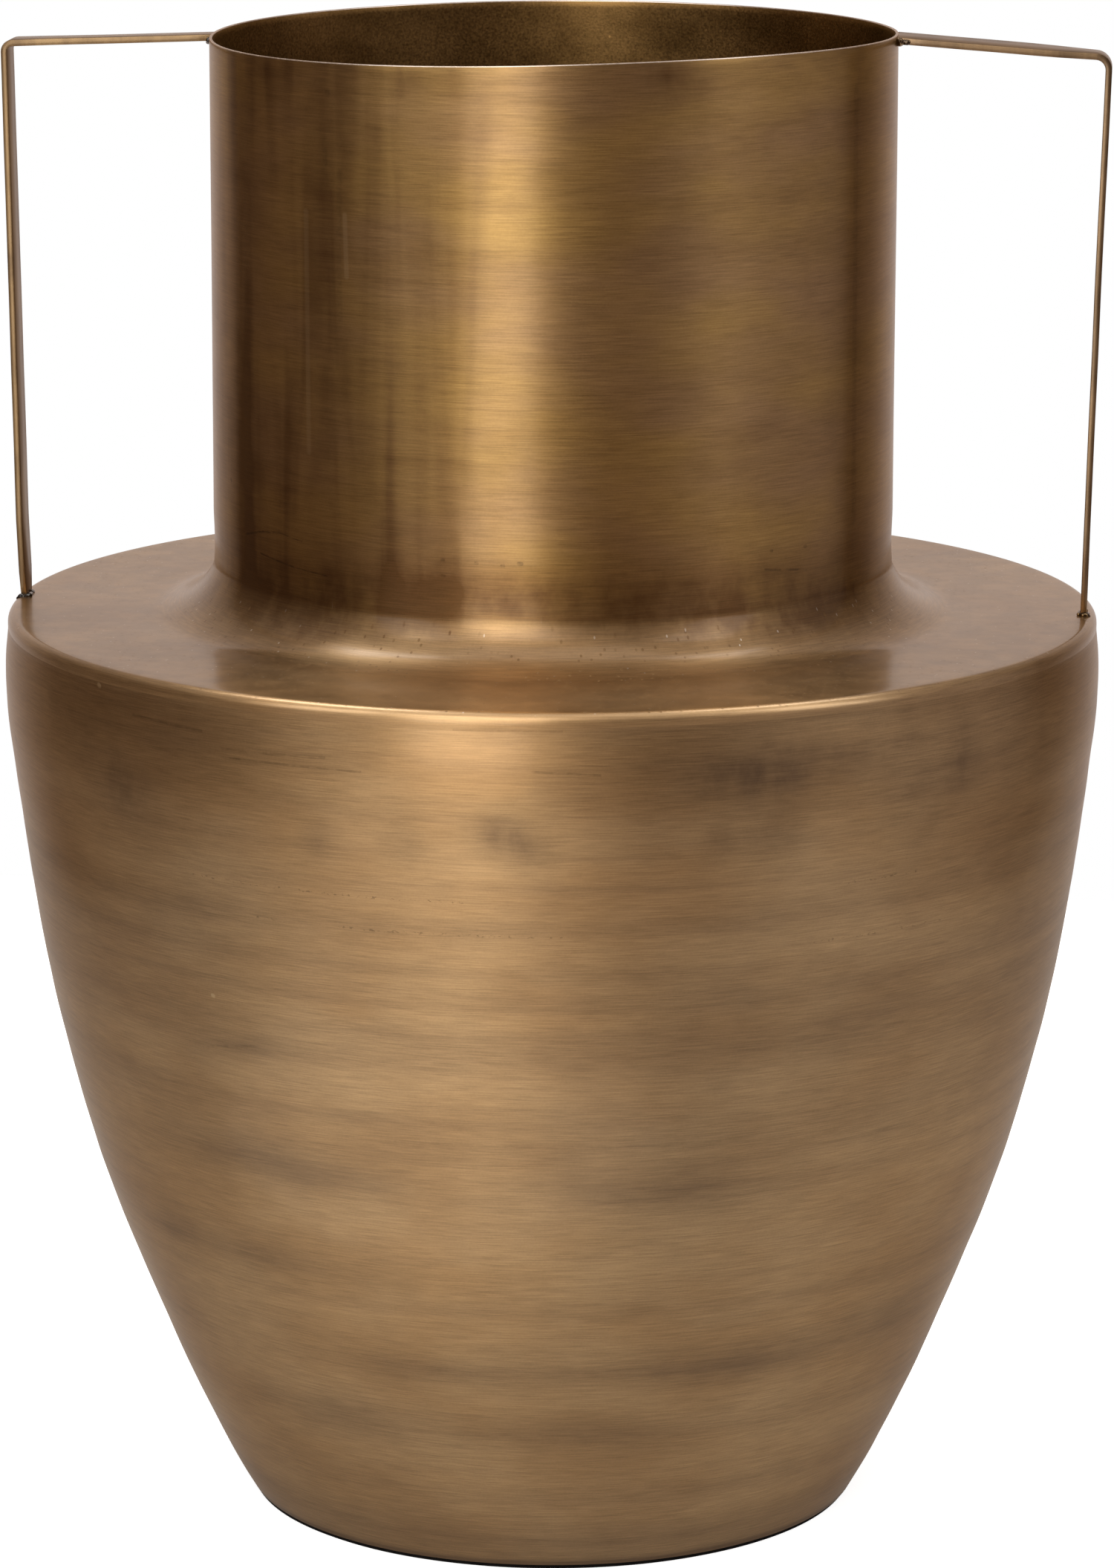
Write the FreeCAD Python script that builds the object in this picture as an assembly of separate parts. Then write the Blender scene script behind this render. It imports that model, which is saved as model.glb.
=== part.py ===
"""Urn vase of sheet metal with two strap handles, in millimetres.

The origin is at the centre of the base, where the vase stands, and +Z is up.
+X points to the right handle and -Y is the front.
A spun belly, a shoulder plate and a straight neck are welded into one vessel,
and each handle is one flat strip, bent once, from the neck's rim to the shoulder.
"""
import FreeCAD, Part
import math
import os

from FreeCAD import Vector

# Overall sizes of the vessel
rim_height = 461.0
body_radius = 169.8
neck_radius = 105.2
sheet = 0.9

# Belly: a short straight flare at the foot, then a curve up to the shoulder seam
foot_radius = 96.5
foot_flare = 2.9
foot_flare_height = 5.0
shoulder_height = 282.3
seam_drop = 4.2
seam_inset = 0.9
belly_height_shares = (0.0, 0.08, 0.20, 0.34, 0.48, 0.62, 0.76, 0.87, 0.95)
belly_spread_shares = (0.0, 0.155, 0.355, 0.566, 0.724, 0.844, 0.928, 0.982, 1.0)

# Shoulder plate: rounded edge, flat top, fillet to the neck and a short collar,
# which the fillet meets at a soft crease
edge_radius = 3.0
neck_fillet = 21.0
crease_angle = 19.0
collar_height = 16.9

# Bottom disc and the pad it stands on
base_sheet = 1.2
pad_thickness = 1.4
pad_inset = 1.0

# Welds of the vessel: two butt welds ground flush and a fillet round the bottom disc
weld_width = 1.2
base_bead = 1.5

# Handles: flat strip, as far out on both sides so that the vase stays centred
strip_breadth = 12.0
strip_thickness = 2.0
handle_overhang = 0.3
foot_taper_length = 8.0
foot_breadth = 8.6
foot_sink = 3.0
arm_sink = 6.0

# Each handle was bent by hand, so the two differ a little
left_lip_drop = 2.7
left_arm_drop = 2.2
left_bend = 1.6
left_foot_setback = 2.15
right_lip_drop = 1.0
right_arm_drop = 4.8
right_bend = 2.8
right_foot_setback = 3.4

# Lumps of weld at the handles' ends
rim_bead = 1.7
rim_bead_overhang = 0.8
left_foot_bead = 2.2
right_foot_bead = 1.9
foot_bead_overhang = 0.6

turn = 360.0
half = 0.5
up = Vector(0, 0, 1)
across = Vector(0, 1, 0)


def export(node, shape):
    """Writes one sub-part as a solid and says how large it is."""
    assert shape.isValid(), node
    shape.exportStep("parts/%s.step" % node)
    print("%-18s %d solid(s) %10.1f mm3" % (node, len(shape.Solids), shape.Volume))


def point(radius, height):
    """A place on the half section, which is drawn in the XZ plane."""
    return Vector(radius, 0, height)


def revolve(edges):
    """The solid that a closed run of edges sweeps round the vase's axis."""
    face = Part.Face(Part.Wire(edges))
    return face.revolve(Vector(0, 0, 0), up, turn)


def line(start, end):
    return Part.LineSegment(start, end).toShape()


def arc(start, middle, end):
    return Part.Arc(start, middle, end).toShape()


def bow(centre, radius, from_angle, to_angle):
    """Part of a circle in the half section, counted in degrees from outwards to up."""
    at = [centre + Vector(radius * math.cos(math.radians(a)), 0, radius * math.sin(math.radians(a)))
          for a in (from_angle, half * (from_angle + to_angle), to_angle)]
    return arc(*at)


# Heights and radii that several pieces share
foot_height = pad_thickness
seam_height = shoulder_height - seam_drop
fillet_spread = neck_fillet * math.cos(math.radians(crease_angle))
fillet_top = shoulder_height + neck_fillet * (1 - math.sin(math.radians(crease_angle)))
collar_top = fillet_top + collar_height
neck_foot = collar_top + weld_width
belly_top = seam_height - weld_width
seam_radius = body_radius - seam_inset
handle_reach = body_radius + handle_overhang


def foot_inside(height):
    """Where the inside of the flare passes a height above the foot's edge."""
    slope = foot_flare / foot_flare_height
    back = sheet * math.hypot(1, slope)
    return point(foot_radius + slope * height - back, foot_height + height)


def belly_curve():
    """The belly's outer outline, from the top of the flare up to the shoulder seam."""
    low = point(foot_radius + foot_flare, foot_height + foot_flare_height)
    rise = belly_top - low.z
    spread = body_radius - low.x
    points = [low + point(spread * out, rise * height)
              for height, out in zip(belly_height_shares, belly_spread_shares)]
    points.append(point(seam_radius, belly_top))
    curve = Part.BSplineCurve()
    tangents = [point(foot_flare, foot_flare_height)] * len(points)
    held = [True] + [False] * (len(points) - 1)
    curve.interpolate(Points=points, Tangents=tangents, TangentFlags=held)
    return curve


def belly_inner_curve():
    """The belly's inner outline, one sheet behind the outer one and level with its top."""
    outer = belly_curve()
    steps = 4 * len(belly_height_shares)
    first, last = outer.FirstParameter, outer.LastParameter
    points = []
    for step in range(steps):
        at = first + (last - first) * step / steps
        along = outer.tangent(at)[0]
        points.append(outer.value(at) + Vector(-along.z, 0, along.x) * sheet)
    points.append(point(seam_radius - sheet, belly_top))
    curve = Part.BSplineCurve()
    curve.interpolate(points)
    return curve


def body_shell():
    """The spun belly, open at the foot and at the shoulder seam."""
    outer, inner = belly_curve(), belly_inner_curve()
    outer_low, outer_high = outer.value(outer.FirstParameter), outer.value(outer.LastParameter)
    inner_low, inner_high = inner.value(inner.FirstParameter), inner.value(inner.LastParameter)
    foot = point(foot_radius, foot_height)
    return revolve([line(foot, outer_low), outer.toShape(), line(outer_high, inner_high), inner.toShape(),
                    line(inner_low, foot_inside(0)), line(foot_inside(0), foot)])


def shoulder_outline(inset):
    """The shoulder's outline from the seam to the collar's top, moved inside by some of the sheet."""
    edge_centre = point(seam_radius - edge_radius, shoulder_height - edge_radius)
    fillet_centre = point(neck_radius + fillet_spread, shoulder_height + neck_fillet)
    outside = edge_radius - inset
    inside = neck_fillet + inset
    crease = math.acos((fillet_spread + inset) / inside)
    collar_foot = point(neck_radius - inset, fillet_centre.z - inside * math.sin(crease))
    return [line(point(seam_radius - inset, seam_height), edge_centre + Vector(outside, 0, 0)),
            bow(edge_centre, outside, 0, turn / 4),
            line(edge_centre + Vector(0, 0, outside), fillet_centre - Vector(0, 0, inside)),
            bow(fillet_centre, inside, turn / 2 + math.degrees(crease), turn * 3 / 4),
            line(collar_foot, point(neck_radius - inset, collar_top))]


def shoulder_plate():
    """Rounded edge, flat top, fillet and collar, spun from one sheet."""
    ends = [line(point(seam_radius - sheet, seam_height), point(seam_radius, seam_height)),
            line(point(neck_radius - sheet, collar_top), point(neck_radius, collar_top))]
    return revolve(Part.__sortEdges__(shoulder_outline(0) + shoulder_outline(sheet) + ends))


def shoulder_block():
    """The room under the shoulder's outer skin, which trims what stands on it."""
    closing = [line(point(neck_radius, collar_top), point(0, collar_top)),
               line(point(0, collar_top), point(0, seam_height)),
               line(point(0, seam_height), point(seam_radius, seam_height))]
    return revolve(Part.__sortEdges__(shoulder_outline(0) + closing))


def tube(radius, low, high):
    """A straight round wall, one sheet thick."""
    foot = Vector(0, 0, low)
    outside = Part.makeCylinder(radius, high - low, foot)
    return outside.cut(Part.makeCylinder(radius - sheet, high - low, foot))


def neck_tube():
    """The straight neck, from the collar's weld to the rim."""
    return tube(neck_radius, neck_foot, rim_height)


def collar_weld():
    """The butt weld between the shoulder's collar and the neck, ground flush."""
    return tube(neck_radius, collar_top, neck_foot)


def shoulder_weld():
    """The butt weld between the belly and the shoulder's edge, ground flush."""
    return tube(seam_radius, belly_top, seam_height)


def base_plate():
    """The bottom disc, which fills the foot and stands level with the belly's edge."""
    corners = [point(0, foot_height), foot_inside(0), foot_inside(base_sheet),
               point(0, foot_height + base_sheet)]
    return revolve(Part.makePolygon(corners + corners[:1]).Edges)


def base_pad():
    """The thin black pad under the foot."""
    return Part.makeCylinder(foot_radius - pad_inset, pad_thickness)


def base_weld():
    """The fillet of weld in the corner between the bottom disc and the belly, inside."""
    corner = foot_inside(base_sheet)
    top = foot_inside(base_sheet + base_bead)
    toe = corner - Vector(base_bead, 0, 0)
    return revolve(Part.makePolygon([corner, top, toe, corner]).Edges)


class Strip:
    """One handle: a level arm from the rim, one bend and a leg down to the shoulder."""

    def __init__(self, side, lip_drop, arm_drop, bend, foot_setback, foot_bead):
        self.side = side
        self.arm_top = rim_height - lip_drop
        self.corner_top = self.arm_top - arm_drop
        self.bend = bend
        self.foot_reach = seam_radius - foot_setback
        self.foot_bead = foot_bead
        self.foot_height = shoulder_height - foot_sink

    def at(self, reach, height):
        return Vector(self.side * reach, 0, height)

    def corners(self, depth):
        """Start of the arm, corner and end of the leg, a depth inside the strip's outer face."""
        arm = Vector(handle_reach - neck_radius, 0, self.corner_top - self.arm_top).normalize()
        leg = Vector(self.foot_reach - handle_reach, 0, self.foot_height - self.corner_top).normalize()
        arm_inside = Vector(arm.z, 0, -arm.x) * depth
        leg_inside = Vector(leg.z, 0, -leg.x) * depth
        start = Vector(neck_radius, 0, self.arm_top) - arm * arm_sink + arm_inside
        corner = Vector(handle_reach, 0, self.corner_top) + leg_inside
        end = Vector(self.foot_reach, 0, self.foot_height) + leg_inside
        away = corner - start
        travel = (away.x * leg.z - away.z * leg.x) / (arm.x * leg.z - arm.z * leg.x)
        return start, start + arm * travel, end, arm, leg

    def edge(self, depth, radius):
        """The strip's edge line at a depth: arm, arc and leg, and its two ends."""
        start, corner, end, arm, leg = self.corners(depth)
        cut_back = radius * math.tan(half * arm.getAngle(leg))
        first = corner - arm * cut_back
        last = corner + leg * cut_back
        centre = first + Vector(arm.z, 0, -arm.x) * radius
        middle = centre + (corner - centre).normalize() * radius
        places = [self.at(p.x, p.z) for p in (start, first, middle, last, end)]
        run = [line(places[0], places[1]), arc(*places[1:4]), line(places[3], places[4])]
        return run, places[0], places[4]

    def solid(self):
        """The bent strip, its leg narrowed at the foot, trimmed by the neck and the shoulder."""
        outer, outer_start, outer_end = self.edge(0, self.bend + strip_thickness)
        inner, inner_start, inner_end = self.edge(strip_thickness, self.bend)
        ends = [line(outer_start, inner_start), line(outer_end, inner_end)]
        face = Part.Face(Part.Wire(Part.__sortEdges__(outer + inner + ends)))
        face.translate(across * (-half * strip_breadth))
        strip = face.extrude(across * strip_breadth)
        for edge_side in (1, -1):
            strip = strip.cut(self.taper(edge_side))
        neck = Part.makeCylinder(neck_radius, rim_height)
        return strip.cut(neck).cut(shoulder_block())

    def taper(self, edge_side):
        """What is ground off one edge of the leg above its foot."""
        high = shoulder_height + foot_taper_length
        low = self.foot_height
        slope = half * (strip_breadth - foot_breadth) / foot_taper_length
        narrow = half * strip_breadth - slope * (high - low)
        wide = half * strip_breadth
        corners = [Vector(0, edge_side * narrow, low - strip_thickness), Vector(0, edge_side * narrow, low),
                   Vector(0, edge_side * wide, high), Vector(0, edge_side * strip_breadth, high),
                   Vector(0, edge_side * strip_breadth, low - strip_thickness)]
        face = Part.Face(Part.makePolygon(corners + corners[:1]))
        return face.extrude(Vector(self.side * (handle_reach + strip_thickness), 0, 0))

    def capsule(self, reach, height, bead, overhang, breadth):
        """A rounded lump of weld that lies across the strip."""
        reach_along = half * breadth + overhang - bead
        foot = Vector(self.side * reach, -reach_along, height)
        lump = Part.makeCylinder(bead, 2 * reach_along, foot, across)
        for end in (-1, 1):
            lump = lump.fuse(Part.makeSphere(bead, Vector(self.side * reach, end * reach_along, height)))
        return lump.removeSplitter()

    def rim_weld(self):
        """The lump under the arm's end, trimmed by the strip and the neck."""
        height = self.arm_top - strip_thickness
        lump = self.capsule(neck_radius, height, rim_bead, rim_bead_overhang, strip_breadth)
        return lump.cut(self.solid()).cut(Part.makeCylinder(neck_radius, rim_height))

    def foot_weld(self):
        """The bead round the leg's foot, trimmed by the strip and the shoulder."""
        middle = self.foot_reach - half * strip_thickness
        lump = self.capsule(middle, shoulder_height, self.foot_bead, foot_bead_overhang, foot_breadth)
        return lump.cut(self.solid()).cut(shoulder_block())


def handles():
    """The two strips and the welds at their ends, by node name."""
    left = Strip(-1, left_lip_drop, left_arm_drop, left_bend, left_foot_setback, left_foot_bead)
    right = Strip(1, right_lip_drop, right_arm_drop, right_bend, right_foot_setback, right_foot_bead)
    for name, strip in (("left", left), ("right", right)):
        yield name + "_handle", strip.solid()
        yield name + "_rim_weld", strip.rim_weld()
        yield name + "_foot_weld", strip.foot_weld()


os.makedirs("parts", exist_ok=True)
for maker in (base_pad, base_plate, base_weld, body_shell, shoulder_weld, shoulder_plate, collar_weld,
              neck_tube):
    export(maker.__name__, maker())
for node, shape in handles():
    export(node, shape)
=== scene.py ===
# %% [markdown]
# # A brass urn vase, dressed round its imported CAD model
#
# The real vase is thin brass sheet: a spun belly, a spun shoulder plate and a straight neck, welded into
# one vessel, with one bent strip of brass welded on each side as a handle. The CAD model already has every
# piece at its true size. Here each visible piece is made again with the softness, the small dents and the
# finish of the real one, in the same place.

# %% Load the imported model
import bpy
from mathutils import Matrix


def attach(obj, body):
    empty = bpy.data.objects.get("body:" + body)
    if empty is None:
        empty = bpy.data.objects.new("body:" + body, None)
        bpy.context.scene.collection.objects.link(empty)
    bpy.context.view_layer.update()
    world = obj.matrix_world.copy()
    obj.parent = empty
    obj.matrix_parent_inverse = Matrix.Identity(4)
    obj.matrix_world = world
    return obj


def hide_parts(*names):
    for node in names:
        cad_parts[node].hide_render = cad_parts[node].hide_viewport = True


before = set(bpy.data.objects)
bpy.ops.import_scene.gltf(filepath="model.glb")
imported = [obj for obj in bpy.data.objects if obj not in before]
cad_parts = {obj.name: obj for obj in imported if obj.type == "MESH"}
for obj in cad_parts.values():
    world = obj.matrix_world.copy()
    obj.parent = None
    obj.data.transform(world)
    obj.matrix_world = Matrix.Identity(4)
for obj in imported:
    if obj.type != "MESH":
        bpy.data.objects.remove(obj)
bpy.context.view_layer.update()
print("CAD nodes:", ", ".join(sorted(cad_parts)))

# %% [markdown]
# All sizes below are written in millimetres, as a metalworker would read them off a ruler, and turned into
# Blender's metres in one place. A place on a round vessel is easier to give as a height and an azimuth, the
# angle round the axis counted from the right handle, with the front at -90 degrees.

# %% Units and small helpers
import math

import bmesh
import bpy
from mathutils import Matrix, Vector, noise

MM = 0.001
FULL_TURN = math.tau
TOUCHING = 1e-6    # two points nearer than this, in metres, are the same


def metres(x, y, z):
    """A place in metres from millimetres."""
    return Vector((x, y, z)) * MM


def smooth_step(value, low, high):
    """0 below low, 1 above high and a soft ramp between them."""
    share = min(max((value - low) / (high - low), 0.0), 1.0)
    return share * share * (3.0 - 2.0 * share)


# %% [markdown]
# ## The camera
#
# A photographer's long lens flattens the vase, so the camera stands well back, a little to the right of the
# front and above the rim, and tips down. Its place was worked out from the ovals of the mouth, the shoulder
# and the foot: their widths give the distance and their flatness gives the tilt.

# %% Stand the camera where the photographer stood
CAMERA_PLACE = Vector((0.1735, -1.8559, 0.6346))
CAMERA_PITCH = math.radians(12.4)
CAMERA_TURN = math.radians(5.3)
CAMERA_ROLL = math.radians(0.088)
LENS = 139.84
SENSOR = 36.0

camera_data = bpy.data.cameras.new("studio_camera")
camera_data.lens = LENS
camera_data.sensor_width = SENSOR
camera = bpy.data.objects.new("studio_camera", camera_data)
bpy.context.scene.collection.objects.link(camera)
camera.matrix_world = (Matrix.Translation(CAMERA_PLACE)
                       @ Matrix.Rotation(CAMERA_TURN, 4, "Z")
                       @ Matrix.Rotation(math.radians(90.0) - CAMERA_PITCH, 4, "X")
                       @ Matrix.Rotation(CAMERA_ROLL, 4, "Z"))
bpy.context.scene.camera = camera
bpy.context.scene.view_settings.view_transform = "Standard"
print("camera looks along", [round(value, 3) for value in camera.matrix_world.to_3x3() @ Vector((0, 0, -1))])

# %% [markdown]
# ## Shader maths as plain expressions
#
# A finish is worked out from numbers that change over the surface, such as how much patina a place has.
# Node trees get hard to read when each sum is a node with wires, so one small class wraps an output of a
# node, and + - * / between two of them add the Math nodes. Every other node comes from one method, `node`,
# which sets the node's own settings first and then its sockets.

# %% A wrapper for one output of a node
class Reading:
    """A number, colour or vector that changes over a surface."""

    def __init__(self, tree, socket):
        self.tree = tree
        self.socket = socket

    def math(self, operation, *others):
        """A Math node that works on this reading and others."""
        return add_node(self.tree, "ShaderNodeMath", {"operation": operation},
                        dict(enumerate((self,) + others)))

    def __add__(self, other):
        return self.math("ADD", other)

    def __sub__(self, other):
        return self.math("SUBTRACT", other)

    def __mul__(self, other):
        return self.math("MULTIPLY", other)

    def __truediv__(self, other):
        return self.math("DIVIDE", other)

    def __rsub__(self, other):
        return add_node(self.tree, "ShaderNodeMath", {"operation": "SUBTRACT"}, {0: other, 1: self})

    __radd__ = __add__
    __rmul__ = __mul__


def add_node(tree, kind, settings=None, inputs=None, output=0):
    """Adds a node, makes its settings, fills or wires its sockets and gives one of its outputs."""
    made = tree.nodes.new(kind)
    for name, value in (settings or {}).items():
        setattr(made, name, value)
    for name, value in (inputs or {}).items():
        socket = made.inputs[name]
        if isinstance(value, Reading):
            tree.links.new(value.socket, socket)
        else:
            socket.default_value = value
    return Reading(tree, made.outputs[output])


# %% [markdown]
# A few steps come back in every finish and in the room as well: a soft ramp and a mix of two colours. They
# are methods of one class, the recipe of a node tree. A finish is such a recipe for a material. It starts
# from Object coordinates, because the pieces are never scaled or turned, so a pattern keeps its real size.

# %% A recipe for one tree of nodes
class Recipe:
    """Nodes that are added to a tree one reading at a time."""

    def __init__(self, tree):
        self.tree = tree
        tree.nodes.clear()

    def node(self, kind, settings=None, inputs=None, output=0):
        """Any node of this tree, from its type, its settings and the values or links of its sockets."""
        return add_node(self.tree, kind, settings, inputs, output)

    def ramp(self, value, low, high, start=0.0, end=1.0):
        """start where the value is under low, end where it is over high, softly between."""
        return self.node("ShaderNodeMapRange", {"interpolation_type": "SMOOTHSTEP"},
                         {"Value": value, "From Min": low, "From Max": high, "To Min": start, "To Max": end})

    def blend(self, share, first, second):
        """A colour between two: the first where the share is 0, the second where it is 1."""
        return self.node("ShaderNodeMix", {"data_type": "RGBA"}, {0: share, 6: first, 7: second}, output=2)

    def end_with(self, kind, shader):
        """Ends the recipe with an output node that takes a shader."""
        last = self.tree.nodes.new(kind)
        self.tree.links.new(shader.socket, last.inputs["Surface"])


# %% A finish: the recipe of one material
class Finish(Recipe):
    """A material whose pattern is worked out from Object coordinates."""

    def __init__(self, name):
        self.material = bpy.data.materials.new(name)
        self.material.use_nodes = True
        super().__init__(self.material.node_tree)
        self.place = self.node("ShaderNodeTexCoord", output="Object")

    def axis(self, name):
        """How far along X, Y or Z a point is, in metres."""
        return self.node("ShaderNodeSeparateXYZ", None, {0: self.place}, output=name)

    def stretched(self, x, y, z, shift=0.0):
        """Object coordinates scaled along each axis, and shifted so that no two noises are alike."""
        return self.node("ShaderNodeVectorMath", {"operation": "MULTIPLY_ADD"},
                         {0: self.place, 1: (x, y, z), 2: (shift, shift * 1.7, shift * 0.6)})

    def cloud(self, vector, detail=2.0, roughness=0.5, distortion=0.0):
        """Soft noise from 0 to 1, about 0.5 on average."""
        return self.node("ShaderNodeTexNoise", {"noise_dimensions": "3D"},
                         {"Vector": vector, "Scale": 1.0, "Detail": detail, "Roughness": roughness,
                          "Distortion": distortion})

    def grains(self, per_metre, detail=2.0):
        """Fine noise that is alike in all directions, with so many grains to the metre."""
        return self.cloud(self.stretched(per_metre, per_metre, per_metre), detail)

    def shade(self, colour, amount):
        """The colour times a number that changes over the surface."""
        grey = self.node("ShaderNodeCombineColor", None, {0: amount, 1: amount, 2: amount})
        return self.node("ShaderNodeMix", {"data_type": "RGBA", "blend_type": "MULTIPLY"},
                         {0: 1.0, 6: colour, 7: grey}, output=2)

    def bump(self, height, relief):
        """A normal tilted by the slopes of a height from 0 to 1 that is so many millimetres deep."""
        return self.node("ShaderNodeBump", None, {"Height": height, "Distance": relief * MM, "Strength": 1.0})

    def done(self, shader):
        """Ends the recipe and gives its material."""
        self.end_with("ShaderNodeOutputMaterial", shader)
        return self.material


# %% [markdown]
# ## Light
#
# Metal shows its surroundings more than its own colour. In the photograph a tall soft light stands left of
# the camera and paints the bright column on the neck, the room in front is dark and a little warm, and the
# white backdrop behind greys the metal's outer edges. So the world is white to the camera, and to the metal
# it is a dark room in front that turns into the white backdrop behind, with a paler wall at the right, a
# paler ceiling and a warm floor. The way a ray points is compared with a few directions, and soft ramps
# turn that into shares of the walls' colours.

# %% The room: dark in front, white behind
TOWARDS_CAMERA = (math.sin(CAMERA_TURN), -math.cos(CAMERA_TURN), 0.0)
TOWARDS_RIGHT = (math.cos(CAMERA_TURN), math.sin(CAMERA_TURN), 0.0)
ROOM_LEFT = (0.145, 0.098, 0.071, 1.0)
ROOM_RIGHT = (0.42, 0.36, 0.345, 1.0)
ROOM_BACK = (0.88, 0.79, 0.76, 1.0)
ROOM_TOP = (0.52, 0.46, 0.42, 1.0)
ROOM_FLOOR = (0.56, 0.45, 0.39, 1.0)
WHITE = (1.0, 1.0, 1.0, 1.0)

world = bpy.data.worlds.new("studio_room")
bpy.context.scene.world = world
world.use_nodes = True
room = Recipe(world.node_tree)
ray = room.node("ShaderNodeTexCoord", output="Generated")


def pointing(towards):
    """1 for a ray that goes straight towards a direction, 0 across it and -1 straight away."""
    return room.node("ShaderNodeVectorMath", {"operation": "DOT_PRODUCT"}, {0: ray, 1: towards},
                     output="Value")


frontness = pointing(TOWARDS_CAMERA)
rightness = pointing(TOWARDS_RIGHT)
steepness = room.node("ShaderNodeSeparateXYZ", None, {0: ray}, output="Z")
behind = room.ramp(frontness, -0.55, -1.02)
above = room.ramp(steepness, 0.35, 0.80)
below = room.ramp(steepness, -0.20, -0.50)
at_right = (room.ramp(rightness, 0.35, 1.0) * room.ramp(frontness, -0.62, -0.20)
            * room.ramp(steepness, -0.80, -0.25))
front = room.blend(at_right, room.blend(below, ROOM_LEFT, ROOM_FLOOR), ROOM_RIGHT)
walls = room.blend(behind, front, ROOM_BACK)
is_camera = room.node("ShaderNodeLightPath", output="Is Camera Ray")
seen = room.blend(is_camera, room.blend(above, walls, ROOM_TOP), WHITE)
room.end_with("ShaderNodeOutputWorld",
              room.node("ShaderNodeBackground", None, {"Color": seen, "Strength": 1.0}))
print("room ready:", len(room.tree.nodes), "nodes")

# %% [markdown]
# The lamps are soft boxes that the camera doesn't see, but the metal does. Each stands at an azimuth from
# the camera's direction, where it makes the reflection that the photograph shows: the tall one paints the
# bright column, the high ones at the sides and behind paint the pale streaks of the shoulder and its
# fillet, and a card that lies low in front lifts the belly where it tapers towards the foot.

# %% Soft boxes
LAMP_TARGET = Vector((0.0, 0.0, 0.25))


def soft_box(name, azimuth, distance, height, width, tall, watts, colour=(1.0, 1.0, 1.0)):
    """A rectangular lamp at an azimuth in degrees from the camera's direction, facing the vase."""
    lamp = bpy.data.lights.new(name, "AREA")
    lamp.shape = "RECTANGLE"
    lamp.size = width
    lamp.size_y = tall
    lamp.energy = watts
    lamp.color = colour
    light = bpy.data.objects.new(name, lamp)
    bpy.context.scene.collection.objects.link(light)
    angle = math.radians(azimuth - 90.0) + CAMERA_TURN
    place = Vector((math.cos(angle) * distance, math.sin(angle) * distance, height))
    light.location = place
    light.rotation_euler = (LAMP_TARGET - place).to_track_quat("-Z", "Y").to_euler()
    light.visible_camera = False
    return light


# azimuth, distance, height, width, tall, watts, colour
soft_box("tall_left_light", -16.2, 1.75, 0.98, 0.84, 2.4, 17.6, (1.0, 0.96, 0.88))
soft_box("far_left_light", -45.0, 1.75, 0.75, 0.68, 2.0, 1.2, (1.0, 0.96, 0.90))
soft_box("top_light", 0.0, 0.25, 2.3, 1.3, 1.2, 4.0)
soft_box("rear_left_top_light", -131.0, 0.70, 1.75, 0.5, 0.5, 5.0)
soft_box("rear_right_top_light", 131.0, 0.70, 1.75, 0.5, 0.5, 3.0)
soft_box("front_high_light", -6.0, 1.75, 1.9, 1.0, 0.9, 1.4)
soft_box("high_right_light", 62.0, 1.75, 1.6, 0.7, 1.4, 7.5)
soft_box("high_left_light", -53.0, 1.75, 1.6, 0.7, 1.4, 6.5)
CARD_AZIMUTH = -24.0
low_card = soft_box("low_card", CARD_AZIMUTH, 0.72, 0.012, 0.46, 1.00, 0.92, (1.0, 0.95, 0.87))
low_card.rotation_euler = (math.pi, 0.0, math.radians(CARD_AZIMUTH) + CAMERA_TURN)

# %% [markdown]
# ## The floor
#
# The vase stands on plain pale paper. Its colour does the work of the white background, and a little of
# that white is added for what the camera and the metal see, so that the paper stays white where it is lit
# and keeps the vase's soft shadow. The metal sees less of that glow than the camera, or the belly would
# look lit from below. The sheet lies a tenth of a millimetre low, so that it never shares a plane with the
# underside of the pad.

# %% Lay the paper
PAPER_GREY = (0.50, 0.50, 0.50, 1.0)
GLOW_IN_THE_METAL = (0.31, 0.295, 0.285, 1.0)
GLOW = 0.86

paper_finish = Finish("pale_paper")
by_camera = paper_finish.node("ShaderNodeLightPath", output="Is Camera Ray")
watched = by_camera
for other_ray in ("Is Glossy Ray", "Is Transmission Ray"):
    watched = watched.math("MAXIMUM", paper_finish.node("ShaderNodeLightPath", output=other_ray))
paper_diffuse = paper_finish.node("ShaderNodeBsdfDiffuse", None, {"Color": PAPER_GREY})
paper_glow = paper_finish.node("ShaderNodeEmission", None, {
    "Color": paper_finish.blend(by_camera, GLOW_IN_THE_METAL, WHITE), "Strength": GLOW})
paper_lit = paper_finish.node("ShaderNodeAddShader", None, {0: paper_diffuse, 1: paper_glow})
paper_white = paper_finish.done(paper_finish.node("ShaderNodeMixShader", None,
                                                  {0: watched, 1: paper_diffuse, 2: paper_lit}))

UNDER_THE_PAD = -0.0001
PAPER_MIDDLE = Matrix.Translation((0.0, 0.19, UNDER_THE_PAD))
PAPER_SIZE = Matrix.Diagonal((1.2, 1.22, 1.0, 1.0))
paper_mesh = bpy.data.meshes.new("paper_floor")
paper_bm = bmesh.new()
bmesh.ops.create_grid(paper_bm, x_segments=1, y_segments=1, size=0.5, matrix=PAPER_MIDDLE @ PAPER_SIZE)
paper_bm.to_mesh(paper_mesh)
paper_bm.free()
paper = bpy.data.objects.new("paper_floor", paper_mesh)
bpy.context.scene.collection.objects.link(paper)
paper_mesh.materials.append(paper_white)
print("paper corners:", [[round(value, 2) for value in paper.bound_box[corner]] for corner in (0, 6)])

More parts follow.
